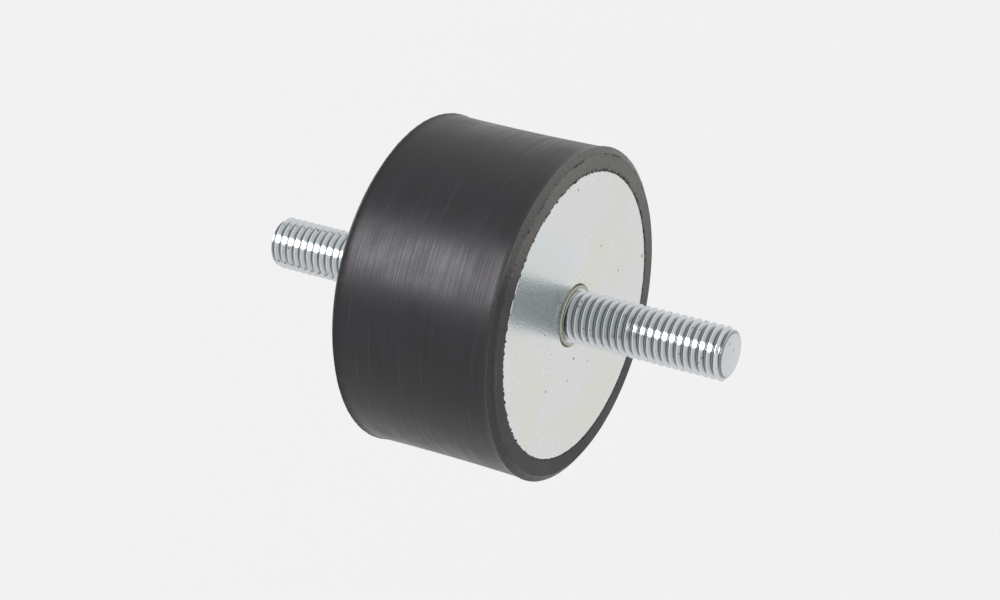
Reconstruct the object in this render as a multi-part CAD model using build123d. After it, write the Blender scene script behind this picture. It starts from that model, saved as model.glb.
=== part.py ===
"""Bobbin vibration mount, male/male: a rubber block bonded between two steel discs with M12 studs.

Frame: millimetres, +Z along the stud axis. The origin is the centre of the lower disc's seating face.
The lower stud points along -Z and the upper stud along +Z.
"""

import os

from build123d import *

# rubber block
body_diameter = 75.0  # across the flash lips, the nominal diameter
body_height = 40.0  # seating face to seating face, the nominal height
waist_depth = 0.55  # how far the middle of the flank lies inside the flash lip
corner_width = 1.4  # radial width of the cut-back corner outside each end ring
corner_height = 0.95  # from the end face down to the flash lip
flash_land = 0.35  # height of the flash lip's outer edge
flash_step = 0.3  # radial step from the flash lip to the flank

# steel disc
ring_width = 3.85  # rubber seen round the disc, inside the cut-back corner
plate_thickness = 3.0
lip_radius = 1.2  # rounding of the hole's outer edge
rim_chamfer = 0.2  # broken outer edge of the disc

# headed stud, M12 x 1.75
thread_diameter = 12.0
thread_allowance = 0.15  # how far the rolled crests lie under the nominal diameter
thread_pitch = 1.75
chamfer_share = 0.65  # depth of the end chamfer as a share of the pitch
stud_length = 37.0  # beyond the seating face
collar_step = 0.925  # radial, from the thread's crests out to the collar
collar_clearance = 0.05  # radial, collar in the disc's hole
collar_recess = 0.1  # collar's shoulder below the seating face
collar_edge = 0.4  # chamfer on the collar's shoulder
head_overhang = 4.15  # radial, from the collar out to the head
head_thickness = 3.0
head_edge = 0.6  # chamfer on the head's buried edge

# sizes that follow from those above
body_radius = body_diameter / 2
ring_radius = body_radius - corner_width
flank_radius = body_radius - flash_step
plate_radius = ring_radius - ring_width
crest_radius = (thread_diameter - thread_allowance) / 2
end_chamfer = thread_pitch * chamfer_share
collar_radius = crest_radius + collar_step
hole_radius = collar_radius + collar_clearance
head_radius = collar_radius + head_overhang
head_back = plate_thickness + head_thickness  # inner end of the head


def turned(outline):
    """A closed outline in the radius and height plane, turned into a solid about the axis."""
    return revolve(Plane.XZ * make_face(outline), Axis.Z)


def flipped(solid):
    """The same piece at the other end of the block."""
    return Pos(0, 0, body_height) * Rot(180, 0, 0) * solid


def disc():
    """Lower disc: its seating face at zero height, the hole's lip drawn in from that face."""
    lip = RadiusArc((hole_radius + lip_radius, 0), (hole_radius, lip_radius), lip_radius)
    outline = Polyline(
        (hole_radius, lip_radius),
        (hole_radius, plate_thickness),
        (plate_radius, plate_thickness),
        (plate_radius, rim_chamfer),
        (plate_radius - rim_chamfer, 0),
        (hole_radius + lip_radius, 0),
    )
    return turned(lip + outline)


def stud():
    """Lower stud: the head lies on the disc's inner face and the shank points down."""
    return turned(
        Polyline(
            (0, head_back),
            (0, -stud_length),
            (crest_radius - end_chamfer, -stud_length),
            (crest_radius, -stud_length + end_chamfer),
            (crest_radius, collar_recess),
            (collar_radius - collar_edge, collar_recess),
            (collar_radius, collar_recess + collar_edge),
            (collar_radius, plate_thickness),
            (head_radius, plate_thickness),
            (head_radius, head_back - head_edge),
            (head_radius - head_edge, head_back),
            (0, head_back),
        )
    )


def rubber():
    """The block, with a pocket at each end that fits its disc and stud head all over."""
    lower_end = [
        (0, head_back),
        (head_radius - head_edge, head_back),
        (head_radius, head_back - head_edge),
        (head_radius, plate_thickness),
        (plate_radius, plate_thickness),
        (plate_radius, 0),
        (ring_radius, 0),
        (body_radius, corner_height),
        (body_radius, corner_height + flash_land),
        (flank_radius, corner_height + flash_land + flash_step),
    ]
    upper_end = [(radius, body_height - height) for radius, height in reversed(lower_end)]
    waist = (body_radius - waist_depth, body_height / 2)
    flank = ThreePointArc(lower_end[-1], waist, upper_end[0])
    return turned(Polyline(*lower_end) + flank + Polyline(*upper_end, lower_end[0]))


lower_plate = disc()
lower_stud = stud()
nodes = {
    "rubber_body": rubber(),
    "lower_plate": lower_plate,
    "upper_plate": flipped(lower_plate),
    "lower_stud": lower_stud,
    "upper_stud": flipped(lower_stud),
}

os.makedirs("parts", exist_ok=True)
for name, solid in nodes.items():
    solid.label = name
    export_step(solid, f"parts/{name}.step")
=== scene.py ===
"""Bobbin vibration mount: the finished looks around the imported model.

Metres, in the CAD's frame: +Z runs along the studs, and the origin is the centre of the
lower disc's seating face. Every piece is drawn at the lower end or round the axis, and the
upper end's pieces are copies, turned end for end about the block's middle.
"""

import math

import bpy
from mathutils import Matrix, Quaternion, Vector


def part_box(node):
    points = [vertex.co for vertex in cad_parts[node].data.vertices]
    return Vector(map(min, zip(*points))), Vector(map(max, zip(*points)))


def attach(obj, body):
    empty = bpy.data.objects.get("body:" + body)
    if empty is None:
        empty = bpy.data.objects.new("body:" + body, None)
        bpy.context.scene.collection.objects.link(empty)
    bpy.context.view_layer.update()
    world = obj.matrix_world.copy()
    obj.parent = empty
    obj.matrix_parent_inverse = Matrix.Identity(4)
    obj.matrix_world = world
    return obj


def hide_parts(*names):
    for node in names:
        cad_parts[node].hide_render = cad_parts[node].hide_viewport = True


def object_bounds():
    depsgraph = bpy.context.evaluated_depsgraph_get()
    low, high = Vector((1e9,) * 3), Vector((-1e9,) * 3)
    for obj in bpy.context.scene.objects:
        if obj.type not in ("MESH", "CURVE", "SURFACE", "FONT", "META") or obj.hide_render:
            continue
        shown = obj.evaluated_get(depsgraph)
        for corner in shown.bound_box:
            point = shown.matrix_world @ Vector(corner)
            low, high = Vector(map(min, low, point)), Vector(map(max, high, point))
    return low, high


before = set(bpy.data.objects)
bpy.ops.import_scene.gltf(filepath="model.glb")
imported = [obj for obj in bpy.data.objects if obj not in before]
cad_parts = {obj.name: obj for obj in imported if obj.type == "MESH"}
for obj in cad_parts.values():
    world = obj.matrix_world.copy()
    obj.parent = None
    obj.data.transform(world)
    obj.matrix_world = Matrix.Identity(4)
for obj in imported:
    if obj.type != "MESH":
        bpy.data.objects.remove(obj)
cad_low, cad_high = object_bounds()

MM = 0.001
MERGE_GAP = 1e-7             # points nearer than this become one

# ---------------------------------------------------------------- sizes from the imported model

_, block_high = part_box("rubber_body")
_, disc_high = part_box("lower_plate")
stud_low, stud_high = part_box("lower_stud")

BODY_RADIUS = block_high.x
BODY_HEIGHT = block_high.z
DISC_RADIUS = disc_high.x
DISC_THICKNESS = disc_high.z
STUD_TIP = stud_low.z
HEAD_RADIUS = stud_high.x
HEAD_BACK = stud_high.z

# ---------------------------------------------------------------- sizes of the small details

CORNER_WIDTH = 1.4 * MM      # cut-back corner outside the end ring
CORNER_HEIGHT = 0.95 * MM
FLASH_LAND = 0.35 * MM       # outer edge of the flash lip
FLASH_STEP = 0.3 * MM        # from the flash lip in to the flank
WAIST_DEPTH = 0.55 * MM
RING_RADIUS = BODY_RADIUS - CORNER_WIDTH

HOLE_RADIUS = 6.9 * MM       # hole in the disc
HOLE_LIP = 1.2 * MM          # its drawn-in edge
RIM_CHAMFER = 0.2 * MM

THREAD_PITCH = 1.75 * MM
CREST_RADIUS = 5.925 * MM
ROOT_RADIUS = 4.85 * MM
THREAD_FLANK = math.radians(30)
TIP_CHAMFER = 0.52 * THREAD_PITCH     # how far the tip is drawn in
TIP_LENGTH = 0.50 * THREAD_PITCH      # and along how much of the stud
THREAD_START = -0.12 * MM    # where the thread of each stud begins, along and round
UPPER_THREAD_TURN = math.radians(150)
COLLAR_RADIUS = 6.85 * MM
COLLAR_TOP = 0.1 * MM
HEAD_EDGE = 0.6 * MM

# steps once round the axis
BLOCK_STEPS = 720
DISC_STEPS = 192
STUD_STEPS = 96
THREAD_STEPS = 72

# ---------------------------------------------------------------- working at the bench


def only(piece):
    """Selects one piece and nothing else."""
    bpy.ops.object.select_all(action="DESELECT")
    piece.select_set(True)
    bpy.context.view_layer.objects.active = piece


def begin_edit(piece):
    only(piece)
    bpy.ops.object.mode_set(mode="EDIT")


def end_edit():
    bpy.ops.object.mode_set(mode="OBJECT")


def draw_outline(name, points):
    """An outline drawn point by point in the radius and height plane; left in edit mode."""
    bpy.ops.object.select_all(action="DESELECT")
    bpy.ops.mesh.primitive_plane_add(size=MM, location=(0, 0, 0))
    piece = bpy.context.active_object
    piece.name = piece.data.name = name
    begin_edit(piece)
    bpy.ops.mesh.select_mode(type="VERT")
    bpy.ops.mesh.select_all(action="SELECT")
    bpy.ops.mesh.merge(type="CENTER")
    here = points[0]
    bpy.ops.transform.translate(value=(here[0], 0, here[1]))
    for there in points[1:]:
        step = (there[0] - here[0], 0, there[1] - here[1])
        bpy.ops.mesh.extrude_vertices_move(TRANSFORM_OT_translate={"value": step})
        here = there
    return piece


def turn(name, points, steps):
    """A closed outline turned once round the axis into a clean closed skin."""
    piece = draw_outline(name, list(points) + [points[0]])
    bpy.ops.mesh.select_all(action="SELECT")
    bpy.ops.mesh.spin(steps=steps, angle=math.tau, center=(0, 0, 0), axis=(0, 0, 1))
    clean_skin()
    end_edit()
    return piece


def clean_skin():
    bpy.ops.mesh.select_all(action="SELECT")
    bpy.ops.mesh.remove_doubles(threshold=MERGE_GAP)
    bpy.ops.mesh.normals_make_consistent(inside=False)


def smooth(piece, degrees):
    only(piece)
    bpy.ops.object.shade_smooth_by_angle(angle=math.radians(degrees))


def arc(centre, radius, start, stop, count):
    """Points along an arc in the outline plane, angles in degrees."""
    angles = [math.radians(start + (stop - start) * i / count) for i in range(count + 1)]
    return [(centre[0] + radius * math.cos(a), centre[1] + radius * math.sin(a)) for a in angles]


def other_end(piece, name):
    """A copy with its own mesh, turned end for end about the block's middle."""
    only(piece)
    bpy.ops.object.duplicate(linked=False)
    copy = bpy.context.active_object
    copy.name = copy.data.name = name
    half = Matrix.Translation((0, 0, BODY_HEIGHT)) @ Matrix.Rotation(math.pi, 4, "X")
    copy.data.transform(half)
    return copy


def cut_with(piece, tool, operation):
    """A boolean between two closed pieces; the tool is used up."""
    only(piece)
    bpy.ops.object.modifier_add(type="BOOLEAN")
    cut = piece.modifiers[-1]
    cut.operation = operation
    cut.solver = "EXACT"
    cut.object = tool
    bpy.ops.object.modifier_apply(modifier=cut.name)
    bpy.data.objects.remove(tool, do_unlink=True)


# ---------------------------------------------------------------- headed stud


def thread_outline():
    """One pitch of the rolled thread: root, flank, crest and flank, from low to high."""
    root_round = 0.22 * MM
    crest_round = 0.06 * MM
    crest_half = THREAD_PITCH / 16
    crest_centre = THREAD_PITCH / 2 - crest_half + crest_round * math.tan(THREAD_FLANK)
    root = [(r, -z) for r, z in arc((ROOT_RADIUS + root_round, 0), root_round, 180, 240, 4)]
    crest = arc((CREST_RADIUS - crest_round, crest_centre), crest_round, -60, 0, 3)
    # rows close to both ends of the straight flank keep it flat when it is shaded
    (r0, z0), (r1, z1) = root[-1], crest[0]
    flank = [(r0 + (r1 - r0) * share, z0 + (z1 - z0) * share) for share in (0.08, 0.92)]
    half = root + flank + crest
    back = [(r, THREAD_PITCH - z) for r, z in reversed(half)]
    return half + back


def threaded_shank():
    """Right-hand M12 x 1.75 thread, cut from a screwed tooth form and a chamfered blank."""
    spare_turns = 3
    lead_in = 1.3 * THREAD_PITCH
    turns = math.ceil(-STUD_TIP / THREAD_PITCH) + spare_turns
    start = STUD_TIP - lead_in + THREAD_START
    outline = [(r, z + start) for r, z in thread_outline()]
    piece = draw_outline("lower_threaded_stud", outline)
    end_edit()
    bpy.ops.object.modifier_add(type="SCREW")
    screw = piece.modifiers[-1]
    screw.axis = "Z"
    screw.angle = math.tau
    screw.screw_offset = THREAD_PITCH
    screw.iterations = turns
    screw.steps = screw.render_steps = THREAD_STEPS
    screw.use_merge_vertices = True
    screw.merge_threshold = MERGE_GAP
    bpy.ops.object.modifier_apply(modifier=screw.name)

    begin_edit(piece)
    bpy.ops.mesh.select_all(action="SELECT")
    bpy.ops.mesh.remove_doubles(threshold=MERGE_GAP)
    past_tip = STUD_TIP - 0.2 * MM
    inside_collar = 2.0 * MM
    for height, keep_above in ((past_tip, True), (inside_collar, False)):
        bpy.ops.mesh.select_all(action="SELECT")
        bpy.ops.mesh.bisect(
            plane_co=(0, 0, height),
            plane_no=(0, 0, 1),
            use_fill=True,
            clear_inner=keep_above,
            clear_outer=not keep_above,
        )
    clean_skin()
    end_edit()

    tip_radius = CREST_RADIUS - TIP_CHAMFER
    past_crest = CREST_RADIUS + 0.05 * MM
    neck_radius = CREST_RADIUS - 0.65 * MM
    neck_top = 1.5 * MM
    blank_outline = [
        (0, STUD_TIP),
        (tip_radius - 0.18 * MM, STUD_TIP),
        (tip_radius, STUD_TIP + 0.04 * MM),
        (past_crest, STUD_TIP + TIP_LENGTH),
        (past_crest, -0.75 * MM),
        (neck_radius, -0.25 * MM),
        (neck_radius, neck_top),
        (0, neck_top),
    ]
    blank = turn("stud_blank", blank_outline, STUD_STEPS)
    cut_with(piece, blank, "INTERSECT")
    return piece


def collar_and_head():
    """The plain collar that fills the disc's hole, and the head behind the disc."""
    rounding = 0.35 * MM
    shoulder = COLLAR_TOP + 0.05 * MM
    edge = arc((COLLAR_RADIUS - rounding, shoulder + rounding), rounding, -90, 0, 8)
    return turn(
        "stud_collar",
        [
            (0, shoulder),
            *edge,
            (COLLAR_RADIUS, DISC_THICKNESS),
            (HEAD_RADIUS, DISC_THICKNESS),
            (HEAD_RADIUS, HEAD_BACK - HEAD_EDGE),
            (HEAD_RADIUS - HEAD_EDGE, HEAD_BACK),
            (0, HEAD_BACK),
        ],
        STUD_STEPS,
    )


def make_studs(finish):
    lower = threaded_shank()
    cut_with(lower, collar_and_head(), "UNION")
    begin_edit(lower)
    clean_skin()
    end_edit()
    smooth(lower, degrees=38)
    lower.data.materials.clear()
    lower.data.materials.append(finish)
    upper = other_end(lower, "upper_threaded_stud")
    upper.data.transform(Matrix.Rotation(UPPER_THREAD_TURN, 4, "Z"))
    for piece, node in ((lower, "lower_stud"), (upper, "upper_stud")):
        settle(piece, node)


# ---------------------------------------------------------------- steel discs


def make_discs(finish):
    """Turned discs: drawn-in hole lip, flat seating face, broken rim."""
    lip = [
        (HOLE_RADIUS, 0.95 * MM),
        (HOLE_RADIUS + 0.04 * MM, 0.72 * MM),
        (HOLE_RADIUS + 0.16 * MM, 0.53 * MM),
        (HOLE_RADIUS + 0.42 * MM, 0.36 * MM),
        (HOLE_RADIUS + 0.80 * MM, 0.18 * MM),
        (HOLE_RADIUS + 1.08 * MM, 0.06 * MM),
        (HOLE_RADIUS + HOLE_LIP, 0.015 * MM),
        (HOLE_RADIUS + HOLE_LIP + 0.15 * MM, 0),
    ]
    lower = turn(
        "lower_disc",
        [
            (HOLE_RADIUS, DISC_THICKNESS),
            *lip,
            (HOLE_RADIUS + 2 * HOLE_LIP, 0),
            (DISC_RADIUS - 1.5 * MM, 0),
            (DISC_RADIUS - RIM_CHAMFER, 0),
            (DISC_RADIUS, RIM_CHAMFER),
            (DISC_RADIUS, DISC_THICKNESS),
        ],
        DISC_STEPS,
    )
    smooth(lower, degrees=30)
    lower.data.materials.append(finish)
    upper = other_end(lower, "upper_disc")
    for piece, node in ((lower, "lower_plate"), (upper, "upper_plate")):
        settle(piece, node)


# ---------------------------------------------------------------- rubber block


def flank_radius(height):
    """The drawn-in flank: widest beside the flash lips and narrowest at the middle."""
    top = BODY_RADIUS - FLASH_STEP
    span = BODY_HEIGHT / 2 - CORNER_HEIGHT - FLASH_LAND - FLASH_STEP
    share = (height - BODY_HEIGHT / 2) / span
    return BODY_RADIUS - WAIST_DEPTH + (top - BODY_RADIUS + WAIST_DEPTH) * share * share


def rubber_end():
    """Lower end of the block's outline, from the head's pocket out to the flank."""
    lip_low = CORNER_HEIGHT
    lip_high = CORNER_HEIGHT + FLASH_LAND
    ring_start = DISC_RADIUS + 0.5 * MM
    ring_width = RING_RADIUS - DISC_RADIUS - 0.8 * MM
    ring_rows = 8
    ring = [(ring_start + i * ring_width / ring_rows, 0) for i in range(1, ring_rows + 1)]
    return [
        (0, HEAD_BACK),
        (HEAD_RADIUS - HEAD_EDGE, HEAD_BACK),
        (HEAD_RADIUS, HEAD_BACK - HEAD_EDGE),
        (HEAD_RADIUS, DISC_THICKNESS),
        (DISC_RADIUS, DISC_THICKNESS),
        (DISC_RADIUS, 0.12 * MM),
        (DISC_RADIUS + 0.12 * MM, 0),
        (ring_start, 0),
        *ring,
        (RING_RADIUS - 0.12 * MM, 0),
        (RING_RADIUS, 0.06 * MM),
        (RING_RADIUS + 0.3 * MM, 0.30 * MM),
        (RING_RADIUS + 0.65 * MM, 0.52 * MM),
        (RING_RADIUS + 1.0 * MM, 0.72 * MM),
        (BODY_RADIUS - 0.12 * MM, lip_low - 0.03 * MM),
        (BODY_RADIUS, lip_low + 0.08 * MM),
        (BODY_RADIUS, lip_high - 0.1 * MM),
        (BODY_RADIUS - 0.08 * MM, lip_high),
        (BODY_RADIUS - FLASH_STEP, lip_high + FLASH_STEP),
    ]


def rough_up(piece, name, size, strength, weight):
    """Draws the skin in, here and there, where the weight says; it never stands out."""
    pattern = bpy.data.textures.new(name, "CLOUDS")
    pattern.noise_scale = size
    pattern.noise_depth = 3
    group = piece.vertex_groups.new(name=name)
    for point in piece.data.vertices:
        share = weight(math.hypot(point.co.x, point.co.y), point.co.z)
        if share > 0:
            group.add([point.index], share, "REPLACE")
    only(piece)
    bpy.ops.object.modifier_add(type="DISPLACE")
    push = piece.modifiers[-1]
    push.texture = pattern
    push.texture_coords = "LOCAL"
    push.mid_level = 1.0
    push.strength = strength
    push.vertex_group = name
    bpy.ops.object.modifier_apply(modifier=push.name)


def make_rubber(finish):
    end = rubber_end()
    low, high = end[-1][1], BODY_HEIGHT - end[-1][1]
    rows = 26
    flank = [
        (flank_radius(z), z)
        for z in (low + (high - low) * i / rows for i in range(1, rows))
    ]
    top = [(r, BODY_HEIGHT - z) for r, z in reversed(end)]
    block = turn("rubber_block", end + flank + top, BLOCK_STEPS)

    def lip_weight(radius, height):
        from_end = min(height, BODY_HEIGHT - height)
        beyond = abs(from_end - CORNER_HEIGHT - FLASH_LAND / 2)
        return 1.0 if radius > RING_RADIUS + 0.9 * MM and beyond < 0.28 * MM else 0.0

    rough_up(block, "torn_flash", 0.8 * MM, 0.16 * MM, lip_weight)

    def corner_weight(radius, height):
        from_end = min(height, BODY_HEIGHT - height)
        on_corner = RING_RADIUS - 0.05 * MM < radius < RING_RADIUS + 1.1 * MM
        return 1.0 if on_corner and from_end < 0.8 * MM else 0.0

    rough_up(block, "torn_corner", 0.6 * MM, 0.30 * MM, corner_weight)
    smooth(block, degrees=50)
    block.data.materials.append(finish)
    settle(block, "rubber_body")


def settle(piece, node):
    """Puts a piece on the one rigid body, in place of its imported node."""
    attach(piece, "root")
    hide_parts(node)


# ---------------------------------------------------------------- finishes: shared effects


class Bench:
    """Lays out the nodes of one material or group from left to right."""

    def __init__(self, tree):
        self.tree = tree
        self.column = 0

    def node(self, kind, **settings):
        made = self.tree.nodes.new(kind)
        made.location = (self.column * 200, 0)
        self.column += 1
        for key, value in settings.items():
            setattr(made, key, value)
        return made

    def wire(self, source, target):
        self.tree.links.new(source, target)

    def feed(self, socket, value):
        """Links a socket, or sets a plain value on it."""
        if isinstance(value, bpy.types.NodeSocket):
            self.wire(value, socket)
        elif value is not None:
            socket.default_value = value

    def math(self, operation, a, b=None, c=None, clamp=False):
        made = self.node("ShaderNodeMath", operation=operation, use_clamp=clamp)
        for socket, value in zip(made.inputs, (a, b, c)):
            self.feed(socket, value)
        return made.outputs[0]

    def spread(self, value, low, high, to_low=0.0, to_high=1.0):
        """A smooth step of a value from one range to another."""
        made = self.node("ShaderNodeMapRange", interpolation_type="SMOOTHSTEP")
        for name, item in (
            ("Value", value),
            ("From Min", low),
            ("From Max", high),
            ("To Min", to_low),
            ("To Max", to_high),
        ):
            self.feed(made.inputs[name], item)
        return made.outputs["Result"]

    def blend(self, share, a, b, mode="MIX"):
        made = self.node("ShaderNodeMix", data_type="RGBA", blend_type=mode)
        self.feed(made.inputs[0], share)
        self.feed(made.inputs[6], a)
        self.feed(made.inputs[7], b)
        return made.outputs[2]

    def grey(self, value):
        made = self.node("ShaderNodeCombineColor")
        for socket in made.inputs:
            self.feed(socket, value)
        return made.outputs[0]

    def noise(self, vector, scale, detail=3.0, roughness=0.55):
        made = self.node("ShaderNodeTexNoise")
        self.feed(made.inputs["Vector"], vector)
        self.feed(made.inputs["Scale"], scale)
        made.inputs["Detail"].default_value = detail
        made.inputs["Roughness"].default_value = roughness
        return made.outputs["Fac"]

    def place(self):
        return self.node("ShaderNodeTexCoord").outputs["Object"]

    def radius_and_height(self, vector):
        parts = self.node("ShaderNodeSeparateXYZ")
        self.wire(vector, parts.inputs[0])
        across = self.math("POWER", parts.outputs["X"], 2.0)
        along = self.math("POWER", parts.outputs["Y"], 2.0)
        return self.math("SQRT", self.math("ADD", across, along)), parts.outputs["Z"]


def new_group(name, inputs, outputs):
    """An empty shader node group with named sockets."""
    group = bpy.data.node_groups.new(name, "ShaderNodeTree")
    for label, kind, value in inputs:
        socket = group.interface.new_socket(label, in_out="INPUT", socket_type=kind)
        if value is not None:
            socket.default_value = value
    for label, kind in outputs:
        group.interface.new_socket(label, in_out="OUTPUT", socket_type=kind)
    bench = Bench(group)
    return bench, bench.node("NodeGroupInput"), group.nodes.new("NodeGroupOutput"), group


def streaks_group():
    """Fine lines that run round the axis, broken up along their length."""
    bench, given, result, group = new_group(
        "streaks_round_axis",
        [
            ("Vector", "NodeSocketVector", None),
            ("Lines", "NodeSocketFloat", 2500.0),
            ("Run", "NodeSocketFloat", 40.0),
        ],
        [("Streaks", "NodeSocketFloat")],
    )
    parts = bench.node("ShaderNodeSeparateXYZ")
    bench.wire(given.outputs["Vector"], parts.inputs[0])
    joined = bench.node("ShaderNodeCombineXYZ")
    for axis, closeness in (("X", "Run"), ("Y", "Run"), ("Z", "Lines")):
        scaled = bench.math("MULTIPLY", parts.outputs[axis], given.outputs[closeness])
        bench.wire(scaled, joined.inputs[axis])
    bench.wire(bench.noise(joined.outputs[0], 1.0, 4.0, 0.6), result.inputs["Streaks"])
    return group


def pits_group():
    """Sparse small pits: a mask that is 1 inside them."""
    bench, given, result, group = new_group(
        "sparse_pits",
        [
            ("Vector", "NodeSocketVector", None),
            ("Scale", "NodeSocketFloat", 400.0),
            ("Size", "NodeSocketFloat", 0.2),
            ("Share", "NodeSocketFloat", 0.3),
        ],
        [("Pits", "NodeSocketFloat")],
    )
    cells = bench.node("ShaderNodeTexVoronoi")
    bench.wire(given.outputs["Vector"], cells.inputs["Vector"])
    bench.wire(given.outputs["Scale"], cells.inputs["Scale"])
    chance = bench.node("ShaderNodeSeparateColor")
    bench.wire(cells.outputs["Color"], chance.inputs[0])
    kept = bench.math("LESS_THAN", chance.outputs[0], given.outputs["Share"])
    reach = bench.math("MULTIPLY", given.outputs["Size"], bench.math("ADD", chance.outputs[1], 0.3))
    near = bench.math("SUBTRACT", 1.0, bench.math("DIVIDE", cells.outputs["Distance"], reach), clamp=True)
    bench.wire(bench.math("MULTIPLY", kept, bench.spread(near, 0.0, 0.5)), result.inputs["Pits"])
    return group


def grain_group():
    """Fine plating grain on a slow cloudiness."""
    bench, given, result, group = new_group(
        "plating_grain",
        [
            ("Vector", "NodeSocketVector", None),
            ("Grain Scale", "NodeSocketFloat", 3000.0),
            ("Cloud Scale", "NodeSocketFloat", 90.0),
        ],
        [("Grain", "NodeSocketFloat"), ("Clouds", "NodeSocketFloat")],
    )
    place = given.outputs["Vector"]
    fine = bench.noise(place, given.outputs["Grain Scale"], 2.0, 0.6)
    slow = bench.noise(place, given.outputs["Cloud Scale"], 3.0, 0.5)
    bench.wire(fine, result.inputs["Grain"])
    bench.wire(slow, result.inputs["Clouds"])
    return group


def place_group(bench, group, **values):
    made = bench.node("ShaderNodeGroup", node_tree=group)
    for label, value in values.items():
        bench.feed(made.inputs[label.replace("_", " ")], value)
    return made.outputs


def new_finish(name):
    finish = bpy.data.materials.new(name)
    finish.use_nodes = True
    finish.node_tree.nodes.clear()
    bench = Bench(finish.node_tree)
    shader = finish.node_tree.nodes.new("ShaderNodeBsdfPrincipled")
    output = finish.node_tree.nodes.new("ShaderNodeOutputMaterial")
    bench.wire(shader.outputs[0], output.inputs["Surface"])
    return finish, bench, shader


def bump_into(bench, shader, height, distance):
    bump = bench.node("ShaderNodeBump")
    bench.feed(bump.inputs["Height"], height)
    bump.inputs["Distance"].default_value = distance
    bump.inputs["Strength"].default_value = 1.0
    bench.wire(bump.outputs[0], shader.inputs["Normal"])


# ---------------------------------------------------------------- finishes: this mount's own

# darker and lighter shade of each part of the rubber
FLANK_SHADES = (0.0050, 0.0044, 0.0056, 1), (0.0085, 0.0076, 0.0094, 1)
CLEAN_SHADES = (0.030, 0.029, 0.029, 1), (0.060, 0.058, 0.056, 1)
# lighter tone of the -X side of each end
LIGHT_SIDE_SHADES = (0.150, 0.147, 0.134, 1), (0.225, 0.221, 0.200, 1)
SCUFF = (0.034, 0.032, 0.036, 1)
TORN_RUBBER = (0.006, 0.006, 0.006, 1)
RUBBER_CRUMB = (0.02, 0.02, 0.019, 1)

WARM_ZINC = (0.80, 0.81, 0.745, 1)
COOL_ZINC = (0.82, 0.825, 0.84, 1)
# passivation blue, also used as a painted reflection of the stud
BLUE_ZINC_AND_REFLECTION = (0.72, 0.79, 0.85, 1)
DISC_PIT = (0.16, 0.16, 0.14, 1)
# painted shade in the thread's groove
GROOVE_SHADE_ZINC = (0.30, 0.31, 0.32, 1)
CREST_ZINC = (0.70, 0.73, 0.75, 1)
# painted shade in the disc's hole, on a duller plating
COLLAR_SHADE_ZINC = (0.45, 0.44, 0.38, 1)
THREAD_PIT = (0.12, 0.12, 0.11, 1)

SURFACE_RELIEF = 0.00004     # height of the bump on the rubber and the discs
THREAD_RELIEF = 0.000002


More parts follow.
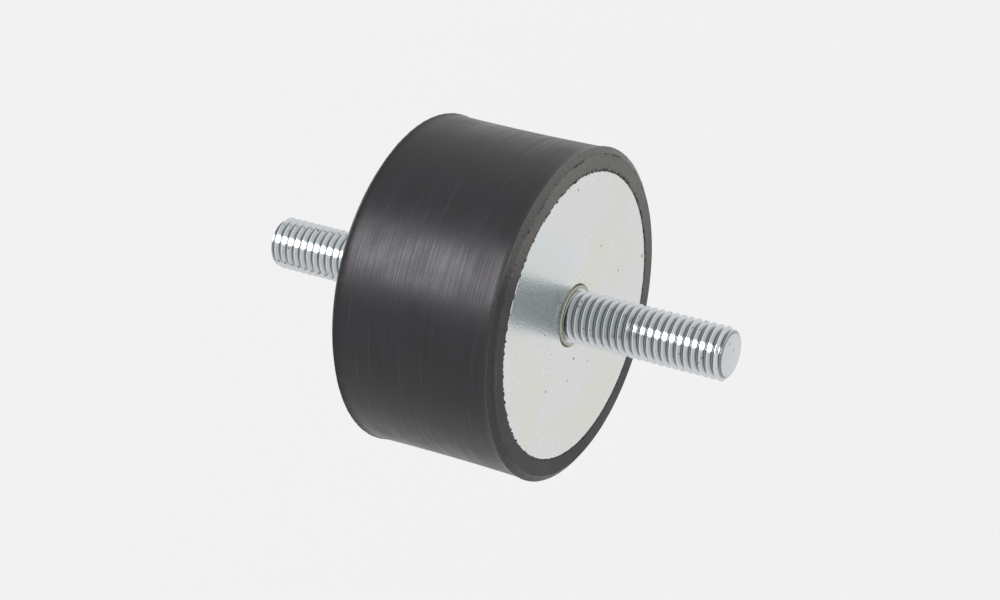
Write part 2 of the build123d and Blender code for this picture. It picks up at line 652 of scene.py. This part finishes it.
def charcoal_rubber(streaks, pits):
    finish, bench, shader = new_finish("charcoal_rubber")
    place = bench.place()
    radius, height = bench.radius_and_height(place)
    half = BODY_HEIGHT / 2
    lip_start = half - CORNER_HEIGHT - FLASH_LAND - 0.2 * MM
    from_middle = bench.math("ABSOLUTE", bench.math("SUBTRACT", height, half))
    end_face = bench.spread(from_middle, half - 0.30 * MM, half - 0.05 * MM)
    corner = bench.math(
        "MULTIPLY",
        bench.spread(radius, RING_RADIUS - 0.4 * MM, RING_RADIUS + 0.1 * MM),
        bench.spread(from_middle, lip_start, half - CORNER_HEIGHT),
    )

    lines = place_group(bench, streaks, Vector=place, Lines=2600.0, Run=30.0)["Streaks"]
    broad = place_group(bench, streaks, Vector=place, Lines=700.0, Run=22.0)["Streaks"]
    mottle = bench.noise(place, 110.0, 4.0, 0.55)
    fine = bench.noise(place, 2600.0, 3.0, 0.6)
    crumbs = bench.noise(place, 900.0, 2.0, 0.6)
    specks = place_group(bench, pits, Vector=place, Scale=900.0, Size=0.4, Share=0.12)["Pits"]

    # the -X side of each end is lighter, with more torn marks; the other side is clean
    across = bench.node("ShaderNodeSeparateXYZ")
    bench.wire(place, across.inputs[0])
    across = bench.math("MULTIPLY_ADD", crumbs, 3.0 * MM, across.outputs["X"])
    light_side = bench.math(
        "ADD",
        bench.spread(across, 2.0 * MM, -8.0 * MM, 0.0, 0.6),
        bench.spread(across, -8.0 * MM, -34.0 * MM, 0.0, 0.4),
    )
    beside_disc = bench.spread(radius, DISC_RADIUS + 0.9 * MM, DISC_RADIUS + 0.2 * MM)
    beside_corner = bench.spread(
        bench.math("ABSOLUTE", bench.math("SUBTRACT", radius, RING_RADIUS - 0.2 * MM)), 0.45 * MM, 0.1 * MM
    )
    clusters = bench.spread(bench.noise(place, 240.0, 2.0, 0.5), 0.45, 0.58)
    torn_bands = bench.math("MAXIMUM", beside_disc, bench.math("MULTIPLY", beside_corner, clusters))
    torn = bench.math(
        "MULTIPLY",
        bench.math("MULTIPLY", torn_bands, end_face),
        bench.spread(bench.math("MULTIPLY_ADD", light_side, 0.12, crumbs), 0.56, 0.64),
    )

    flank = bench.blend(bench.spread(mottle, 0.3, 0.7), *FLANK_SHADES)
    clean = bench.blend(bench.spread(fine, 0.3, 0.7), *CLEAN_SHADES)
    light_tone = bench.blend(bench.spread(fine, 0.3, 0.7), *LIGHT_SIDE_SHADES)
    ring = bench.blend(light_side, clean, light_tone)
    # scuffs left along the moulding lines
    scuffed = bench.math("MULTIPLY", bench.spread(lines, 0.54, 0.68), bench.spread(broad, 0.35, 0.65))
    flank = bench.blend(scuffed, flank, SCUFF)
    colour = bench.blend(end_face, flank, ring)
    # the cut-back corner takes the lighter tone too, most on the -X side
    lightened_corner = bench.math("MULTIPLY", corner, bench.math("MULTIPLY_ADD", light_side, 0.75, 0.15))
    colour = bench.blend(lightened_corner, colour, light_tone)
    dark = bench.math("MAXIMUM", bench.math("MULTIPLY", specks, 0.5), bench.math("MULTIPLY", torn, 0.9))
    colour = bench.blend(dark, colour, TORN_RUBBER)
    bench.wire(colour, shader.inputs["Base Color"])

    mottled = bench.spread(mottle, 0.25, 0.75, 0.32, 0.41)
    lined = bench.spread(lines, 0.35, 0.65, -0.05, 0.06)
    roughness = bench.math("ADD", mottled, lined)
    for duller in (end_face, torn):
        roughness = bench.math("ADD", roughness, bench.math("MULTIPLY", duller, 0.2))
    bench.wire(roughness, shader.inputs["Roughness"])
    shader.inputs["Specular IOR Level"].default_value = 0.5
    shader.inputs["Specular Tint"].default_value = (0.985, 0.95, 1.0, 1)

    relief = bench.math("ADD", bench.math("MULTIPLY", lines, 0.5), bench.math("MULTIPLY", broad, 0.9))
    waves = bench.noise(place, 45.0, 2.0, 0.5)
    for pattern, share in ((fine, 0.15), (mottle, 0.9), (waves, 2.6)):
        relief = bench.math("ADD", relief, bench.math("MULTIPLY", pattern, share))
    relief = bench.math("SUBTRACT", relief, bench.math("MULTIPLY", torn, 1.5))
    bump_into(bench, shader, relief, SURFACE_RELIEF)
    return finish


def zinc_disc(grain, pits):
    finish, bench, shader = new_finish("zinc_disc")
    place = bench.place()
    radius, _ = bench.radius_and_height(place)
    plating = place_group(bench, grain, Vector=place, Grain_Scale=1900.0, Cloud_Scale=70.0)
    spots = place_group(bench, pits, Vector=place, Scale=230.0, Size=0.10, Share=0.3)["Pits"]
    small_spots = place_group(bench, pits, Vector=place, Scale=800.0, Size=0.16, Share=0.10)["Pits"]
    spots = bench.math("MAXIMUM", spots, bench.math("MULTIPLY", small_spots, 0.6))

    # passivation drifts from a warm to a cool tint
    tint = bench.spread(plating["Clouds"], 0.35, 0.65)
    colour = bench.blend(tint, WARM_ZINC, COOL_ZINC)
    # painted reflection of the stud: a cool tint on the -Y side of the hole, over the passivation's blue
    sides = bench.node("ShaderNodeSeparateXYZ")
    bench.wire(place, sides.inputs[0])
    across = bench.math("MULTIPLY_ADD", plating["Clouds"], 8.0 * MM, sides.outputs["X"])
    stud_reflection_tint = bench.math(
        "MULTIPLY",
        bench.spread(sides.outputs["Y"], -4.0 * MM, -14.0 * MM),
        bench.spread(bench.math("ABSOLUTE", across), 14.0 * MM, 6.0 * MM),
    )
    colour = bench.blend(bench.math("MULTIPLY", stud_reflection_tint, 0.5), colour, BLUE_ZINC_AND_REFLECTION)
    sparkle = bench.spread(plating["Grain"], 0.3, 0.7, 0.94, 1.05)
    colour = bench.blend(1.0, colour, bench.grey(sparkle), "MULTIPLY")
    colour = bench.blend(bench.math("MULTIPLY", spots, 0.7), colour, DISC_PIT)
    # crumbs of rubber left on the disc's edge
    crumbs = bench.noise(place, 1100.0, 2.0, 0.6)
    ragged = bench.math("MULTIPLY_ADD", crumbs, 1.6 * MM, radius)
    bleed = bench.spread(ragged, DISC_RADIUS + 0.62 * MM, DISC_RADIUS + 0.78 * MM)
    colour = bench.blend(bleed, colour, RUBBER_CRUMB)
    bench.wire(colour, shader.inputs["Base Color"])
    bench.wire(bench.math("SUBTRACT", 1.0, bleed), shader.inputs["Metallic"])
    grained = bench.spread(plating["Grain"], 0.3, 0.7, 0.11, 0.23)
    bench.wire(bench.math("MULTIPLY_ADD", bleed, 0.4, grained), shader.inputs["Roughness"])
    relief = bench.math("SUBTRACT", plating["Grain"], bench.math("MULTIPLY", spots, 1.2))
    bump_into(bench, shader, relief, SURFACE_RELIEF)
    return finish


def zinc_thread(grain, pits):
    finish, bench, shader = new_finish("zinc_thread")
    place = bench.place()
    radius, _ = bench.radius_and_height(place)
    plating = place_group(bench, grain, Vector=place, Grain_Scale=2200.0, Cloud_Scale=160.0)
    spots = place_group(bench, pits, Vector=place, Scale=900.0, Size=0.35, Share=0.12)["Pits"]
    # painted shade: the groove is darker; what lies inside the root, most of the stud's end face, stays
    # bright
    above_groove = bench.spread(radius, ROOT_RADIUS + 0.1 * MM, ROOT_RADIUS + 0.55 * MM)
    outside_root = bench.spread(radius, ROOT_RADIUS - 0.12 * MM, ROOT_RADIUS - 0.04 * MM)
    off_crest = bench.math("SUBTRACT", 1.0, above_groove)
    shaded_groove = bench.math("MULTIPLY", off_crest, outside_root)
    crest = bench.math("SUBTRACT", 1.0, shaded_groove)

    colour = bench.blend(crest, GROOVE_SHADE_ZINC, CREST_ZINC)
    # the collar, down in the disc's hole, is darker and olive: painted shade there, with a duller plating
    # too
    collar = bench.spread(radius, CREST_RADIUS + 0.05 * MM, CREST_RADIUS + 0.25 * MM)
    colour = bench.blend(collar, colour, COLLAR_SHADE_ZINC)
    colour = bench.blend(bench.math("MULTIPLY", spots, 0.6), colour, THREAD_PIT)
    bench.wire(colour, shader.inputs["Base Color"])
    shader.inputs["Metallic"].default_value = 1.0
    bench.wire(bench.spread(plating["Clouds"], 0.3, 0.7, 0.13, 0.18), shader.inputs["Roughness"])
    bump_into(bench, shader, plating["Grain"], THREAD_RELIEF)
    return finish


# ---------------------------------------------------------------- studio

CAMERA_PLACE = Vector((0, -0.51368, 0.27776))
CAMERA_AIM = Vector((0.00074, 0.00036, 0.02072))
CAMERA_ROLL = math.radians(104.2575)     # the studs lie across the frame
CAMERA_LENS = 93.582
CAMERA_SENSOR = 36

FLOOR_HEIGHT = cad_low.z - 0.26
FLOOR_SIZE = 40
FLOOR_COLOUR = (0.8, 0.8, 0.8, 1)
FLOOR_GLOW = 0.42            # added only where the background is seen
# strengths on the world shader's own 0.8 grey, which is left as it is
ROOM_LIGHT = 0.72
BACKGROUND_SEEN = 1.0


def make_camera():
    bpy.ops.object.camera_add(location=CAMERA_PLACE)
    camera = bpy.context.active_object
    camera.name = "studio_camera"
    camera.rotation_mode = "QUATERNION"
    level = (CAMERA_AIM - CAMERA_PLACE).to_track_quat("-Z", "Y")
    camera.rotation_quaternion = level @ Quaternion((0, 0, 1), CAMERA_ROLL)
    camera.data.lens = CAMERA_LENS
    camera.data.sensor_width = CAMERA_SENSOR
    camera.data.clip_start = 0.01
    camera.data.clip_end = 100
    bpy.context.scene.camera = camera


def sees_background(bench):
    """1 for the rays that see the pale background: camera, glossy and transmission rays."""
    path = bench.node("ShaderNodeLightPath")
    glossy = bench.math("MAXIMUM", path.outputs["Is Glossy Ray"], path.outputs["Is Transmission Ray"])
    return bench.math("MAXIMUM", path.outputs["Is Camera Ray"], glossy)


def mixed(bench, share, a, b):
    """One number or another, by a share that the rays decide."""
    made = bench.node("ShaderNodeMix", data_type="FLOAT")
    for index, value in ((0, share), (2, a), (3, b)):
        bench.feed(made.inputs[index], value)
    return made.outputs[0]


def toward(azimuth, elevation):
    """A unit direction from two angles in degrees."""
    a, e = math.radians(azimuth), math.radians(elevation)
    return Vector((math.cos(a) * math.cos(e), math.sin(a) * math.cos(e), math.sin(e)))


def make_world():
    world = bpy.data.worlds.new("studio")
    bpy.context.scene.world = world
    world.use_nodes = True
    tree = world.node_tree
    tree.nodes.clear()
    bench = Bench(tree)
    strength = mixed(bench, sees_background(bench), ROOM_LIGHT, BACKGROUND_SEEN)
    background = tree.nodes.new("ShaderNodeBackground")
    bench.wire(strength, background.inputs["Strength"])
    output = tree.nodes.new("ShaderNodeOutputWorld")
    bench.wire(background.outputs[0], output.inputs["Surface"])


def make_floor():
    """A wide pale floor, well below the mount, which shows as a pale grey."""
    bpy.ops.object.select_all(action="DESELECT")
    bpy.ops.mesh.primitive_plane_add(size=FLOOR_SIZE, location=(0, 0, FLOOR_HEIGHT))
    floor = bpy.context.active_object
    floor.name = "studio_floor"
    finish = bpy.data.materials.new("pale_floor")
    finish.use_nodes = True
    tree = finish.node_tree
    tree.nodes.clear()
    bench = Bench(tree)
    paint = tree.nodes.new("ShaderNodeBsdfDiffuse")
    paint.inputs["Color"].default_value = FLOOR_COLOUR
    glow = tree.nodes.new("ShaderNodeEmission")
    bench.wire(mixed(bench, sees_background(bench), 0.0, FLOOR_GLOW), glow.inputs["Strength"])
    both = tree.nodes.new("ShaderNodeAddShader")
    bench.wire(paint.outputs[0], both.inputs[0])
    bench.wire(glow.outputs[0], both.inputs[1])
    output = tree.nodes.new("ShaderNodeOutputMaterial")
    bench.wire(both.outputs[0], output.inputs["Surface"])
    floor.data.materials.append(finish)


def softbox(name, azimuth, elevation, distance, width, height, strength):
    """A plain soft lamp that faces the block's middle; the camera itself doesn't see it."""
    middle = Vector((0, 0, BODY_HEIGHT / 2))
    place = middle + toward(azimuth, elevation) * distance
    bpy.ops.object.light_add(type="AREA", location=place)
    lamp = bpy.context.active_object
    lamp.name = name
    lamp.rotation_mode = "QUATERNION"
    lamp.rotation_quaternion = (middle - place).to_track_quat("-Z", "Y")
    lamp.data.shape = "RECTANGLE"
    lamp.data.size = width
    lamp.data.size_y = height
    # watts that give this brightness at the lamp's face
    lamp.data.energy = strength * width * height * math.pi
    lamp.visible_camera = False


def make_lamp():
    softbox(
        "front_softbox",
        azimuth=-99,
        elevation=-27,
        distance=0.60,
        width=0.30,
        height=0.10,
        strength=13.0,
    )


def make_mount():
    streaks = streaks_group()
    pits = pits_group()
    grain = grain_group()
    make_rubber(charcoal_rubber(streaks, pits))
    make_discs(zinc_disc(grain, pits))
    make_studs(zinc_thread(grain, pits))


make_camera()
make_world()
make_floor()
make_lamp()
make_mount()
bpy.context.scene.view_settings.view_transform = "Standard"
